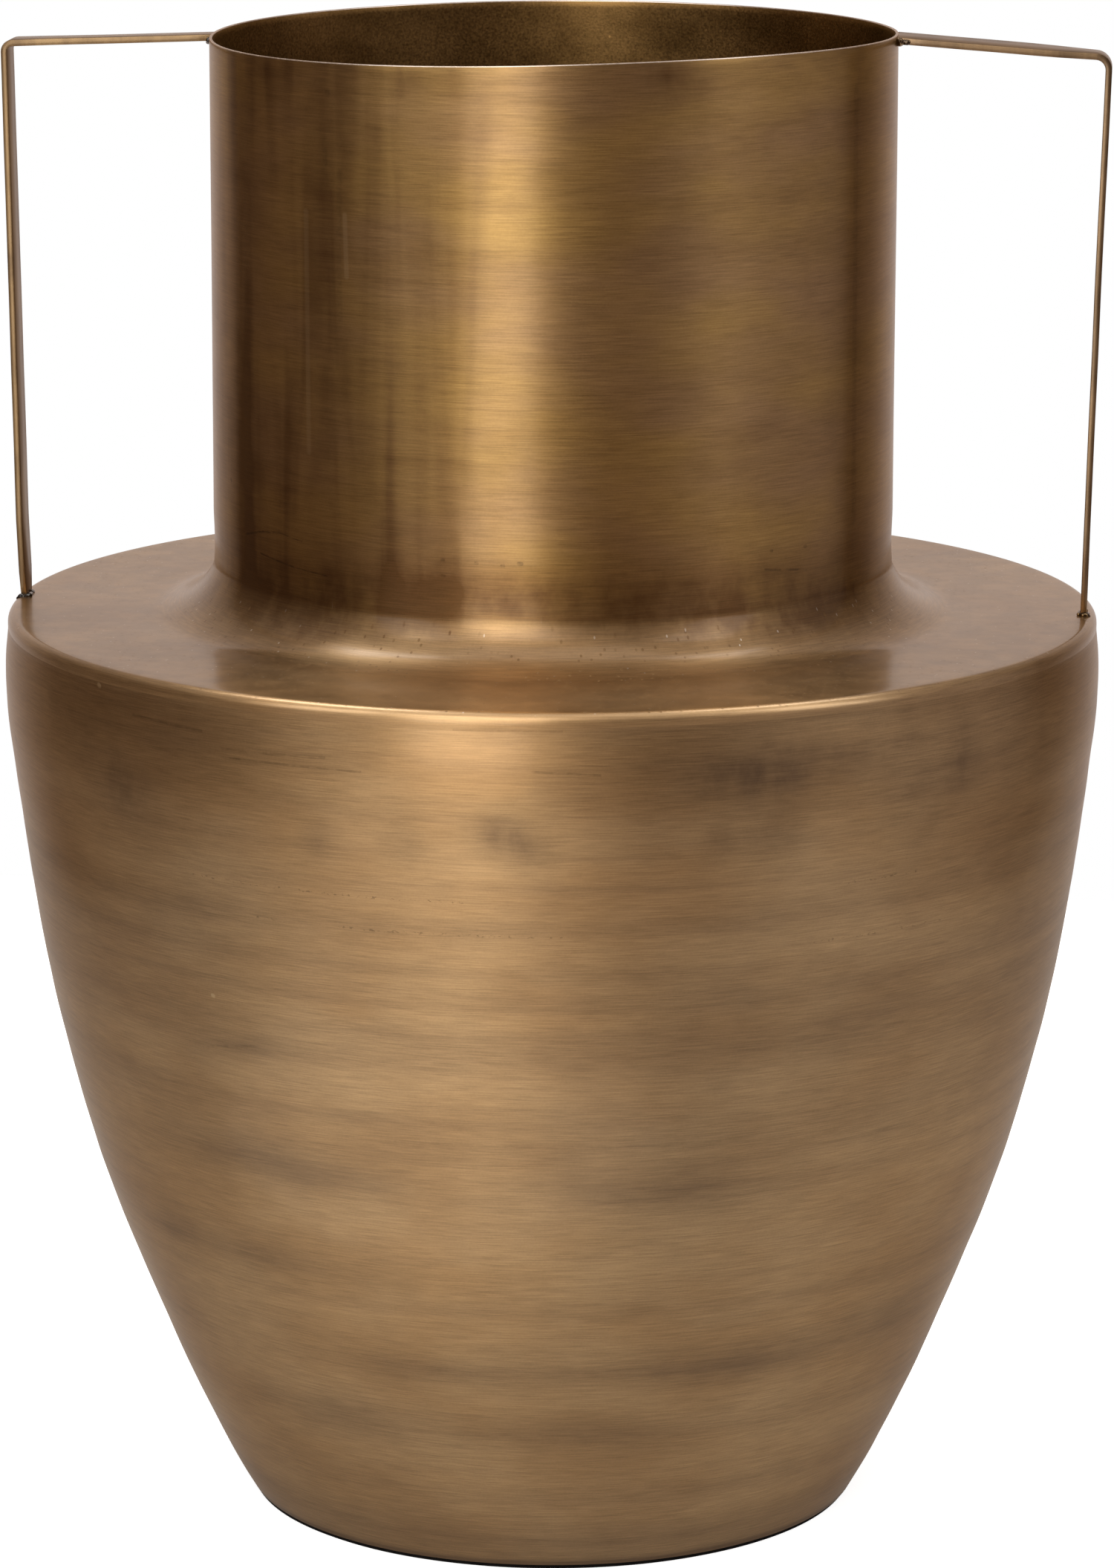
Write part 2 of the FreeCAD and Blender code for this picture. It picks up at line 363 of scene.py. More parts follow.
# %% [markdown]
# ## The sheet metal, as it left the workshop
#
# Spinning a disc over a wooden form leaves faint rings, and rolling and welding a tube leaves it slightly
# out of round. These errors are a few tenths of a millimetre at most, but a polished wall shows them,
# because its highlight wavers. One function gives the radial error of the sheet at any place, and every
# piece that shares a seam uses it, so the seams stay flush. The sheet also goes inwards by a hair as a
# whole, so that no bulge passes the CAD model's skin.

# %% Small errors of spinning and welding
SEAM = 277.5
COLLAR = 314.0
COLLAR_FOOT = 296.5
RING_DEPTH = 0.10
RING_SPACING = 9.0
OUT_OF_ROUND = 0.18
BULGE_LENGTH = 70.0
FLUTE_DEPTH = 0.06
FLUTE_LENGTH = 90.0
BODY_INSET = 0.06
NECK_INSET = 0.10
WAIST_DEPTH = 0.28
LEAN = 0.22


def radial_error(place):
    """How far out of true the sheet is at a place, in metres, outwards."""
    angle = math.atan2(place.y, place.x)
    height = place.z / MM
    around = Vector((math.cos(angle), math.sin(angle), 0.0))
    rings = noise.noise(Vector((around.x * 0.6, around.y * 0.6, height / RING_SPACING)))
    broad = noise.noise(around * 1.7 + Vector((3.1, 0.4, height / BULGE_LENGTH)))
    flutes = noise.noise(around * 6.0 + Vector((9.7, 2.2, height / FLUTE_LENGTH)))
    # each error is felt between two heights, and fades in and out
    on_body = 1.0 - smooth_step(height, SEAM - 30.0, SEAM - 4.0)
    on_shoulder = smooth_step(height, 200.0, 250.0) * (1.0 - smooth_step(height, 284.0, 296.0))
    on_neck = smooth_step(height, COLLAR_FOOT + 2.0, COLLAR_FOOT + 30.0)
    waist = (smooth_step(height, COLLAR_FOOT, COLLAR_FOOT + 5.0)
             * (1.0 - smooth_step(height, COLLAR_FOOT + 8.0, COLLAR)))
    return MM * (RING_DEPTH * rings * on_body + OUT_OF_ROUND * broad * max(on_body, on_neck)
                 - BODY_INSET * on_body + FLUTE_DEPTH * flutes * on_neck - NECK_INSET * on_neck
                 - WAIST_DEPTH * waist - LEAN * around.x * on_shoulder)


def work_sheet(bm):
    """Moves each vertex of a spun piece out of true by the sheet's own error."""
    for vertex in bm.verts:
        flat = Vector((vertex.co.x, vertex.co.y, 0.0))
        if flat.length > TOUCHING:
            vertex.co += flat.normalized() * radial_error(vertex.co)


samples = [radial_error(metres(170.0 * math.cos(a), 170.0 * math.sin(a), z)) / MM
           for a in (0.3, 1.4, 2.5, 3.6, 4.7, 5.8) for z in range(10, 460, 10)]
print("sheet error in mm: %.2f to %.2f" % (min(samples), max(samples)))

# %% [markdown]
# ## Patina and painted light, painted point by point
#
# The maker darkens the brass with a chemical and rubs it back, which leaves soft dark patches. Some of the
# patches are painted shade instead, where the metal reflects the dark room, along the neck's foot and in the
# fillet, and along the sheet's dents, and a patch whose strength is below 0 is a painted highlight. Each
# patch has a place on the vase, so it is written as an azimuth, a height, a half width, a half height and a
# strength. They are added up at every point of the mesh and kept as an attribute that the finish reads:
# noise alone would scatter them anywhere.

# %% Where the patina, the painted shade and the painted highlights are
PATCHES = (
    # azimuth in degrees, height, half width and half height in millimetres, strength
    # neck, under the rim and down its left side
    (-136.6, 453.0, 9.0, 3.5, 0.45), (-108.8, 454.0, 3.0, 4.0, 0.45), (-66.0, 456.9, 5.0, 3.2, 0.55),
    (-62.0, 452.0, 14.0, 5.0, 0.20), (-53.0, 437.0, 7.0, 4.0, 0.22), (-55.0, 418.0, 9.0, 5.0, 0.15),
    # the long upright patches on this line and the next are painted shade of the sheet's dents
    (-123.0, 380.0, 7.0, 60.0, 0.22), (-147.0, 400.0, 7.0, 75.0, 0.30), (-137.0, 330.0, 14.0, 22.0, 0.28),
    (-25.5, 390.0, 2.2, 90.0, 0.25), (-26.0, 296.5, 4.0, 2.5, 0.30), (-52.0, 330.0, 12.0, 14.0, 0.14),
    # painted shade along the neck's foot, where it reflects the dark room
    (-75.0, 303.0, 70.0, 7.0, 0.58), (-110.0, 300.0, 30.0, 6.0, 0.25),
    # fillet and front edge, painted shade beside the neck and painted highlights at the front
    (-132.0, 291.0, 24.0, 6.5, 0.62), (-38.0, 292.0, 22.0, 6.0, 0.45),
    (-112.0, 281.5, 26.0, 2.5, -0.40), (-66.0, 281.5, 26.0, 2.5, -0.42), (-90.0, 281.5, 20.0, 2.5, -0.34),
    (-165.0, 290.0, 16.0, 6.0, 0.40), (-14.0, 290.0, 16.0, 6.0, 0.40), (-88.0, 293.0, 36.0, 6.0, 0.14),
    (-57.0, 294.0, 24.0, 4.0, 0.45), (-94.5, 295.0, 10.0, 2.0, -0.65),
    # belly, the row of smudges under the shoulder
    (-89.7, 247.3, 6.0, 4.0, 0.63), (-87.0, 242.5, 5.0, 4.0, 0.38), (-99.4, 243.4, 4.5, 4.5, 0.33),
    (-108.8, 242.3, 3.0, 4.0, 0.33), (-132.6, 248.2, 11.0, 8.0, 0.42), (-69.5, 262.1, 11.0, 6.0, 0.38),
    (-62.7, 260.7, 8.0, 5.0, 0.57), (-62.7, 245.1, 7.0, 5.0, 0.52), (-67.9, 243.6, 4.0, 4.0, 0.42),
    (-39.5, 258.0, 5.0, 9.0, 0.30), (-75.0, 246.0, 9.0, 6.0, 0.21), (-45.0, 243.0, 6.0, 9.0, 0.18),
    (-60.0, 268.0, 24.0, 7.0, 0.35), (-45.0, 257.0, 20.0, 12.0, 0.14), (-28.0, 250.0, 14.0, 24.0, 0.15),
    (-140.0, 262.0, 18.0, 14.0, 0.22), (-124.0, 266.0, 14.0, 5.0, 0.22), (-152.0, 235.0, 16.0, 24.0, 0.12),
    # the patches below 0 are painted highlights on the belly's lit front and left flank
    (-92.0, 270.0, 26.0, 8.0, -0.25), (-80.0, 241.0, 70.0, 20.0, -0.16), (-152.0, 238.0, 26.0, 20.0, -0.10),
    # belly, broad darker stretches of the spun rings
    (-121.3, 138.7, 22.0, 5.0, 0.44), (-110.0, 135.0, 18.0, 4.0, 0.40), (-119.0, 173.0, 16.0, 3.0, 0.32),
    (-120.8, 104.8, 22.0, 4.0, 0.40), (-139.0, 104.0, 10.0, 4.0, 0.36), (-100.0, 72.8, 22.0, 3.5, 0.50),
    (-115.3, 51.3, 20.0, 5.0, 0.40), (-71.5, 135.5, 24.0, 6.0, 0.36), (-60.0, 72.0, 30.0, 4.0, 0.50),
    (-82.9, 51.1, 26.0, 5.0, 0.36), (-50.0, 186.0, 16.0, 6.0, 0.24), (-30.0, 74.0, 14.0, 6.0, 0.36),
    # the last two are painted shade low on the left and a painted highlight at the front
    (-80.0, 140.0, 40.0, 25.0, 0.09), (-150.0, 70.0, 32.0, 36.0, 0.14), (-100.0, 75.0, 36.0, 30.0, -0.07),
    # foot, darker all round and nearly black at its edge
    (-90.0, 4.0, 220.0, 10.0, 0.36), (-90.0, 1.8, 260.0, 0.8, 0.80),
)
FADE = 3.0    # a patch isn't felt further up or down than so many half heights


def patina_and_painted_light_at(place):
    """How dark the patina and painted shade are at a place, from 0 to about 1, or below 0 where a highlight is
    painted.
    """
    height = place.z / MM
    reach = math.hypot(place.x, place.y) / MM
    angle = math.degrees(math.atan2(place.y, place.x))
    dark = 0.0
    for azimuth, level, half_width, half_height, strength in PATCHES:
        up = (height - level) / half_height
        if abs(up) > FADE:
            continue
        turn = (angle - azimuth + 180.0) % 360.0 - 180.0
        along = math.radians(turn) * reach / half_width
        dark += strength * math.exp(-0.5 * (along * along + up * up))
    return dark


print("patina at the belly's front smudge: %.2f" % patina_and_painted_light_at(metres(0.9, -169.0, 247.0)))

# %% [markdown]
# ## Turning a profile into a shell
#
# The three big pieces are turned round one axis, so each starts as half its outline, drawn as a smooth
# curve through measured points. The curve is made into edges, `bmesh.ops.spin` sweeps them a full turn,
# and `solidify` gives the skin the thickness of the sheet. A full turn leaves the last column of points on
# top of the first, so the doubles are merged and the faces turned outwards before the wall gets thick.
# Every piece ends in the same way: smooth faces with the sharp edges kept, its finish, and the CAD node
# that it stands for.

# %% Helpers for turned pieces
SHEET = 0.9
COLUMNS = 256
SHARP = math.radians(32.0)     # an edge steeper than this isn't shaded smooth
CORNER = math.radians(60.0)    # an edge steeper than this gets a bevel


def outline(name, points, steps):
    """A bmesh with the edges of a smooth line through (radius, height) points in millimetres."""
    curve = bpy.data.curves.new(name, "CURVE")
    curve.dimensions = "3D"
    spline = curve.splines.new("BEZIER")
    spline.bezier_points.add(len(points) - 1)
    spline.resolution_u = steps
    for knot, (radius, height) in zip(spline.bezier_points, points):
        knot.co = metres(radius, 0.0, height)
        knot.handle_left_type = knot.handle_right_type = "AUTO"
    holder = bpy.data.objects.new(name, curve)
    mesh = bpy.data.meshes.new_from_object(holder)
    bm = bmesh.new()
    bm.from_mesh(mesh)
    bpy.data.objects.remove(holder)
    bpy.data.curves.remove(curve)
    bpy.data.meshes.remove(mesh)
    return bm


def spin_full(bm):
    """Sweeps the edges of a bmesh once round the vase's axis and closes the seam."""
    bmesh.ops.spin(bm, geom=bm.verts[:] + bm.edges[:], cent=(0, 0, 0), axis=(0, 0, 1), angle=FULL_TURN,
                   steps=COLUMNS, use_merge=True, use_duplicate=False)
    bmesh.ops.remove_doubles(bm, verts=bm.verts[:], dist=TOUCHING)


def turn_outwards(bm):
    """Recalculates the normals and flips them all if they face the axis."""
    bmesh.ops.recalc_face_normals(bm, faces=bm.faces[:])
    facing = 0.0
    for face in bm.faces:
        middle = face.calc_center_median()
        facing += face.normal.dot(Vector((middle.x, middle.y, 0.0))) * face.calc_area()
    if facing < 0:
        bmesh.ops.reverse_faces(bm, faces=bm.faces[:])


def thicken(bm):
    """Gives an outward-facing skin the sheet's thickness, inwards, and the inside the second material."""
    thick = bmesh.ops.solidify(bm, geom=bm.faces[:], thickness=SHEET * MM)
    for item in thick["geom"]:
        if isinstance(item, bmesh.types.BMFace):
            item.material_index = 1


def turned_sheet(line):
    """Turns an outline into a wall of sheet metal, with the sheet's small errors worked into it."""
    spin_full(line)
    turn_outwards(line)
    work_sheet(line)
    thicken(line)
    return line


def round_edges(bm, edges, offset, segments=2):
    """Rounds edges by an offset in millimetres and gives what the bevel made."""
    return bmesh.ops.bevel(bm, geom=edges, offset=offset * MM, segments=segments, profile=0.5, affect="EDGES",
                           material=-1)


def open_edges(mesh):
    """How many edges aren't shared by exactly two faces: 0 on a closed piece."""
    use = {}
    for polygon in mesh.polygons:
        for key in polygon.edge_keys:
            use[key] = use.get(key, 0) + 1
    return sum(1 for count in use.values() if count != 2)


def finish_piece(name, bm, materials, slot, *nodes, patina_and_painted_light=False):
    """Makes the bmesh a piece of the vase that stands for some CAD nodes."""
    bm.normal_update()
    for face in bm.faces:
        face.smooth = True
    for edge in bm.edges:
        if len(edge.link_faces) == 2 and edge.calc_face_angle() > SHARP:
            edge.smooth = False
    mesh = bpy.data.meshes.new(name)
    bm.to_mesh(mesh)
    bm.free()
    if patina_and_painted_light:
        layer = mesh.attributes.new("patina_and_painted_light", "FLOAT", "POINT")
        layer.data.foreach_set("value", [patina_and_painted_light_at(vertex.co) for vertex in mesh.vertices])
    for material in materials:
        mesh.materials.append(material)
    piece = bpy.data.objects.new(name, mesh)
    bpy.context.scene.collection.objects.link(piece)
    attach(piece, "root")
    if nodes:
        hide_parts(*nodes)
    print("%s: %d faces, %d open edges" % (name, len(mesh.polygons), open_edges(mesh)))


# %% [markdown]
# ## The brass
#
# The whole vessel is one metal, brass that was darkened with a chemical, rubbed back, brushed and lacquered
# after welding. It could be one material, but the maker's hand differs from piece to piece: the neck is the
# most golden, with a red brown patina, the belly is paler with a greyer one, and the shoulder's flat top has
# the thickest lacquer. So one recipe is mixed three times. Its colour lies between rubbed brass and patina.
# The brush lines run round the vase, so they are noise that is long in X and Y and short in Z, and the
# anisotropy makes the reflection spread upwards and downwards as such lines do. The coat is the lacquer.

# %% The colours of the brass
RUBBED = (0.41, 0.258, 0.088, 1.0)
PALE = (0.41, 0.272, 0.138, 1.0)
BROWN = (0.155, 0.082, 0.031, 1.0)
MAUVE = (0.345, 0.214, 0.100, 1.0)
DULL = (0.165, 0.104, 0.058, 1.0)
EDGE_TINT = (0.62, 0.52, 0.44, 1.0)


# %% Brush lines, clouds and pits as ingredients
class Brass(Finish):
    """The vessel's brass: brushed, darkened, rubbed back and lacquered."""

    def brush(self, length, width, shift=0.0, detail=2.0):
        """Fine lines round the vase, of a length and width in millimetres, from 0 to 1."""
        across = 1.0 / (length * MM)
        return self.cloud(self.stretched(across, across, 1.0 / (width * MM), shift), detail, 0.55)

    def blotches(self, width, height, shift=0.0, detail=3.0, distortion=0.0):
        """Soft clouds of a width and height in millimetres, from 0 to 1."""
        across = 1.0 / (width * MM)
        return self.cloud(self.stretched(across, across, 1.0 / (height * MM), shift), detail, 0.5, distortion)

    def pits(self, spacing, low, high, presence, flat=False):
        """Round dots, one to a cell of a spacing in millimetres, in the share of the cells called presence.

        A dot is full inside low and gone outside high, as shares of the spacing.
        """
        per_metre = 1.0 / (spacing * MM)
        grid = self.stretched(per_metre, per_metre, per_metre)
        kind = {"feature": "F1", "voronoi_dimensions": "2D" if flat else "3D"}
        cells = {"Vector": grid, "Scale": 1.0}
        distance = self.node("ShaderNodeTexVoronoi", kind, cells, output="Distance")
        cell_colour = self.node("ShaderNodeTexVoronoi", kind, cells, output="Color")
        chance = self.node("ShaderNodeSeparateColor", None, {0: cell_colour}, output=0)
        return self.ramp(distance, low, high, 1.0, 0.0) * self.ramp(chance, presence, presence - 0.1, 0.0, 1.0)

    def skin(self, radius):
        """The vessel's skin laid flat: millimetres round the vase and millimetres up."""
        angle = self.axis("Y").math("ARCTAN2", self.axis("X"))
        return self.node("ShaderNodeCombineXYZ", None, {0: angle * radius, 1: self.axis("Z") / MM})

    def mark(self, skin, radius, start, end, half_width):
        """1 on a short line between two (azimuth, height) places and 0 a little beside it."""
        first = Vector((math.radians(start[0]) * radius, start[1], 0.0))
        along = Vector((math.radians(end[0]) * radius, end[1], 0.0)) - first
        away = self.node("ShaderNodeVectorMath", {"operation": "SUBTRACT"}, {0: skin, 1: first})
        share = self.node("ShaderNodeVectorMath", {"operation": "DOT_PRODUCT"},
                          {0: away, 1: along / max(along.length_squared, 1e-9)}, output="Value")
        share = share.math("MINIMUM", 1.0).math("MAXIMUM", 0.0)
        nearest = self.node("ShaderNodeVectorMath", {"operation": "SCALE"}, {0: along, "Scale": share})
        distance = self.node("ShaderNodeVectorMath", {"operation": "DISTANCE"}, {0: away, 1: nearest},
                             output="Value")
        return self.ramp(distance, half_width * 0.5, half_width * 1.5, 1.0, 0.0)

    def marks(self, skin, radius, places):
        """All the marks of a list together, each as strong as it says."""
        total = None
        for azimuth, level, to_azimuth, to_level, half_width, strength in places:
            one = self.mark(skin, radius, (azimuth, level), (to_azimuth, to_level), half_width) * strength
            total = one if total is None else total.math("MAXIMUM", one)
        return total

    def surface(self, colour, roughness, height, relief, anisotropy=0.0, coat=0.0, coat_roughness=0.18,
                metal=1.0):
        """Lacquered metal with a relief in millimetres."""
        return self.node("ShaderNodeBsdfPrincipled", None, {
            "Base Color": colour, "Metallic": metal, "Roughness": roughness, "IOR": 1.45,
            "Specular Tint": EDGE_TINT,
            "Anisotropic": anisotropy, "Anisotropic Rotation": 0.25,
            "Coat Weight": coat, "Coat Roughness": coat_roughness, "Coat IOR": 1.5,
            "Normal": self.bump(height, relief)})


# %% [markdown]
# Scratches, small dents, the pits of the collar's weld and the dotted rows under the shoulder sit in places
# of their own, so noise can't make them. The dents and ripples of the neck's sheet are painted as dark lines
# of painted shade and light lines of painted highlight. Each is a short line on the skin laid flat, written
# from one azimuth and height to another. A round spot is a line with next to no length.

# %% Marks seen in the photograph
# from azimuth and height, to azimuth and height, half width in millimetres, strength
NECK_SCARS_AND_DENT_SHADE = (
    (-146.4, 313.0, -141.0, 315.2, 0.28, 0.62), (-141.0, 315.2, -135.9, 316.2, 0.32, 0.62),
    (-135.9, 316.2, -130.2, 314.9, 0.22, 0.56), (-141.7, 308.4, -132.1, 306.6, 0.24, 0.56),
    (-132.1, 306.6, -124.5, 305.7, 0.20, 0.50), (-92.9, 313.1, -92.6, 313.1, 0.45, 0.56),
    (-90.2, 313.9, -89.7, 313.9, 0.50, 0.62), (-97.2, 313.7, -96.9, 313.7, 0.40, 0.50),
    (-102.8, 314.2, -102.5, 314.2, 0.40, 0.43), (-102.8, 309.5, -102.4, 309.4, 0.40, 0.43),
    (-39.2, 313.6, -38.8, 313.6, 0.45, 0.56), (-46.7, 313.9, -46.4, 313.9, 0.40, 0.50),
    (-47.8, 308.5, -44.6, 307.8, 0.35, 0.43), (-43.2, 307.5, -38.6, 306.5, 0.35, 0.43),
    # the dent under the rim, the long upright lines below it and the last line are painted shade of dents and
    # ripples
    (-123.8, 449.7, -123.6, 449.2, 0.90, 0.31), (-124.4, 436.4, -124.2, 424.8, 0.90, 0.20),
    (-121.3, 426.6, -121.6, 404.0, 1.00, 0.20), (-121.6, 404.0, -121.3, 382.1, 0.90, 0.15),
    (-153.1, 327.9, -152.9, 327.5, 0.60, 0.43), (-26.0, 448.0, -25.2, 318.0, 1.30, 0.15))
# painted highlights along the ripples of the neck's sheet
NECK_PAINTED_HIGHLIGHTS = ((-128.6, 413.9, -128.3, 342.5, 0.90, 0.12), (-120.3, 414.0, -120.0, 396.1, 0.80, 0.16))
BELLY_SCARS = (
    (-131.2, 271.1, -121.6, 270.2, 0.40, 0.25), (-118.9, 266.0, -107.4, 266.8, 0.40, 0.23),
    (-118.0, 263.6, -103.6, 263.6, 0.30, 0.32), (-94.3, 277.1, -83.8, 277.2, 0.35, 0.16),
    (-86.6, 265.6, -80.1, 264.5, 0.35, 0.27), (-161.0, 247.9, -160.6, 247.6, 0.80, 0.32),
    (-124.7, 171.9, -117.5, 175.2, 0.45, 0.20), (-102.0, 150.0, -66.0, 150.0, 0.50, 0.12))
# painted highlight spots on the belly
BELLY_PAINTED_HIGHLIGHTS = ((-137.1, 277.2, -136.9, 277.0, 0.70, 0.48), (-123.1, 188.7, -122.9, 188.6, 0.55, 0.42))
PIT_ROWS = ((-124.0, 226.0, -93.0, 226.0, 0.40, 0.40), (-116.0, 216.0, -83.0, 216.0, 0.40, 0.40),
            (-54.0, 227.0, -44.0, 227.0, 0.40, 0.35), (-59.0, 210.0, -40.0, 210.0, 0.40, 0.30))
# dark for scratches and for the painted shade of dents
SCAR_AND_DENT_SHADE = (0.035, 0.020, 0.011, 1.0)
# light for the painted highlights
PAINTED_HIGHLIGHT_COLOUR = (0.66, 0.50, 0.29, 1.0)
DUST = (0.70, 0.62, 0.52, 1.0)
print("marks:", len(NECK_SCARS_AND_DENT_SHADE) + len(NECK_PAINTED_HIGHLIGHTS), "on the neck,",
      len(BELLY_SCARS) + len(BELLY_PAINTED_HIGHLIGHTS) + len(PIT_ROWS), "on the belly")


# %% [markdown]
# The dark share of the brass is a sum: clouds, rings, long lines and the patches of patina and painted shade
# that were painted on the mesh, and the painted highlights among them lighten it. The painted patches are
# broken up a little on the upper belly, where the real ones are smudges. The neck also has upright streaks
# down its left side, and the shoulder's flat top has pits and pale dust.

# %% Patina, streaks and dots
# heights between which something fades in, in metres, as the shader reads them
UPPER_BELLY = (0.205, 0.235)
FLAT_TOP = (0.2812, 0.2820)
# points to the left and the front, and is so long that its product with a place on the neck comes to 1 there
LEFT_OF_THE_NECK = (-6.0, -7.6, 0.0)


def painted_patches(paint):
    """The patches painted on the mesh: how dark the patina and painted shade are, and below 0 how strong the
    painted highlights are.
    """
    painted = paint.node("ShaderNodeAttribute", {"attribute_name": "patina_and_painted_light"}, output="Fac")
    smudges = paint.cloud(paint.stretched(110.0, 110.0, 70.0, 8.0), 3.0, 0.6)
    broken = paint.ramp(smudges, 0.30, 0.70, -0.28, 0.28) * paint.ramp(paint.axis("Z"), *UPPER_BELLY) + 1.0
    return painted.math("MAXIMUM", 0.0) * broken, painted.math("MINIMUM", 0.0)


def upright_streaks(paint, strength):
    """Patina that ran down the left side of the neck."""
    leftness = paint.node("ShaderNodeVectorMath", {"operation": "DOT_PRODUCT"},
                          {0: paint.place, 1: LEFT_OF_THE_NECK}, output="Value")
    drips = paint.cloud(paint.stretched(85.0, 85.0, 9.0, 3.0), 1.6, 0.45, 0.6)
    return paint.ramp(drips, 0.35, 0.75, 0.0, 1.0) * paint.ramp(leftness, 0.78, 1.0, 0.0, strength)


def scratches_and_dent_shade(paint, skin, radius, scars_and_dent_shade, pit_rows):
    """Where the skin has scratches, pits and the painted shade of dents; the brush breaks up these lines, and
    beads the rows.
    """
    broken = paint.ramp(paint.brush(3.0, 1.2, 17.0), 0.36, 0.60, 0.30, 1.0)
    share = paint.marks(skin, radius, scars_and_dent_shade) * broken
    if pit_rows:
        beads = paint.ramp(paint.brush(1.3, 0.7, 13.0), 0.56, 0.66)
        share = share.math("MAXIMUM", paint.marks(skin, radius, pit_rows) * beads)
    return share


# %% The recipe of the vessel's brass
FINE_LINES = (11.0, 0.35)
HAIR_LINES = (9.0, 0.22)
LONG_LINES = (45.0, 1.3)
CLOUD_SIZE = (22.0, 12.0)
RING_SIZE = (450.0, 9.0)
HUE_SIZE = (60.0, 30.0)
BRUSH_RELIEF = 0.010
SCAR_DEPTH = 4.0
SPECK_DULLNESS = 0.7
DUST_COVER = 0.65


def vessel_brass(paint, rubbed, patina_and_painted_light, roughness, anisotropy, coat, mottle, rings, lines, streaks=0.0,
                 specks=0.0, metal=1.0, radius=0.0, scars_and_dent_shade=(), painted_highlight_lines=(), pit_rows=()):
    """The brass of one big piece; mottle, rings, lines, streaks and specks say how strong each is."""
    fine = paint.brush(*FINE_LINES)
    hairs = paint.ramp(paint.brush(*HAIR_LINES, 9.0, 3.0), 0.36, 0.66)
    long_lines = paint.brush(*LONG_LINES, 4.0)
    grain = paint.grains(1500.0, 1.0)
    clouds = paint.blotches(*CLOUD_SIZE, 2.0, 4.0, 0.4)
    bands = paint.blotches(*RING_SIZE, 7.0)
    patina_and_painted_shade, painted_highlight_share = painted_patches(paint)
    dark = (paint.ramp(clouds, 0.36, 0.74, 0.0, mottle) + paint.ramp(bands, 0.40, 0.68, 0.0, rings)
            + paint.ramp(long_lines, 0.42, 0.75, 0.0, lines) + patina_and_painted_shade)
    tone = (fine - 0.5) * 0.42 + (hairs - 0.5) * 0.20 + (grain - 0.5) * 0.16 + 1.0 - painted_highlight_share
    if streaks:
        dark = dark + upright_streaks(paint, streaks)
    if specks:
        on_top = paint.ramp(paint.axis("Z"), *FLAT_TOP)
        dots = paint.pits(3.0, 0.09, 0.16, 0.50, flat=True) * paint.ramp(clouds, 0.36, 0.60, 0.30, 1.0) * on_top
        dark = dark + dots * specks
        metal = metal - dots * SPECK_DULLNESS
        coat = coat - dots * coat
    hue = paint.blend(paint.ramp(paint.blotches(*HUE_SIZE, 11.0), 0.30, 0.70), rubbed, MAUVE)
    colour = paint.shade(paint.blend(dark.math("MINIMUM", 1.0), hue, patina_and_painted_light), tone)
    gloss = roughness + (fine - 0.5) * 0.10 + dark * 0.06
    height = fine * 0.5 + hairs * 0.25 + long_lines * 0.5 + grain * 0.12
    # scratches and the painted shade of dents darken the colour, and the painted highlight lines lighten it
    if scars_and_dent_shade:
        skin = paint.skin(radius)
        scarred_and_shaded = scratches_and_dent_shade(paint, skin, radius, scars_and_dent_shade, pit_rows)
        colour = paint.blend(scarred_and_shaded, colour, SCAR_AND_DENT_SHADE)
        colour = paint.blend(paint.marks(skin, radius, painted_highlight_lines), colour, PAINTED_HIGHLIGHT_COLOUR)
        height = height - scarred_and_shaded * SCAR_DEPTH
    if specks:
        dust = paint.pits(5.3, 0.035, 0.062, 0.24, flat=True) * on_top
        colour = paint.blend(dust * DUST_COVER, colour, DUST)
    return paint.surface(colour, gloss, height, BRUSH_RELIEF, anisotropy, coat, metal=metal)


# %% [markdown]
# The shoulder plate ends in a collar that was brushed together with the neck. If its finish stopped at the
# weld, a line would show at the crease, so one material mixes both finishes, softly up the fillet.

# %% Mix the brass of the neck, the belly and the shoulder
NECK_RADIUS = 105.2
BELLY_RADIUS = 165.0
UP_THE_FILLET = (0.2865, 0.2995)


def neck_look(paint):
    """The golden, strongly brushed brass of the neck, which the collar shares."""
    return vessel_brass(paint, RUBBED, BROWN, roughness=0.38, anisotropy=0.75, coat=0.30, mottle=0.22,
                        rings=0.12, lines=0.10, streaks=0.80, radius=NECK_RADIUS, scars_and_dent_shade=NECK_SCARS_AND_DENT_SHADE,
                        painted_highlight_lines=NECK_PAINTED_HIGHLIGHTS)


neck_paint = Brass("neck_brass_satin")
neck_brass = neck_paint.done(neck_look(neck_paint))

body_paint = Brass("spun_brass_satin")
body_brass = body_paint.done(vessel_brass(
    body_paint, PALE, DULL, roughness=0.42, anisotropy=0.65, coat=0.30, mottle=0.12, rings=0.24, lines=0.12,
    radius=BELLY_RADIUS, scars_and_dent_shade=BELLY_SCARS, painted_highlight_lines=BELLY_PAINTED_HIGHLIGHTS, pit_rows=PIT_ROWS))

plate_paint = Brass("shoulder_brass_satin")
plate_look = vessel_brass(plate_paint, PALE, BROWN, roughness=0.36, anisotropy=0.45, coat=0.50, mottle=0.12,
                          rings=0.06, lines=0.03, specks=0.65, metal=0.88)
shoulder_brass = plate_paint.done(plate_paint.node("ShaderNodeMixShader", None, {
    0: plate_paint.ramp(plate_paint.axis("Z"), *UP_THE_FILLET), 1: plate_look, 2: neck_look(plate_paint)}))
for brass in (neck_brass, body_brass, shoulder_brass):
    print("%s: %d nodes" % (brass.name, len(brass.node_tree.nodes)))

# %% [markdown]
# Nobody polished the inside. It is dull and olive, with a grain of dust and a little metal glitter. The lip
# was trimmed after the darkening, so its cut edge is bare metal; it is painted paler still, as a painted
# highlight, which draws a thin light line.

# %% The raw inside and the cut lip
OLIVE = (0.31, 0.182, 0.066, 1.0)
DARK_OLIVE = (0.17, 0.095, 0.032, 1.0)
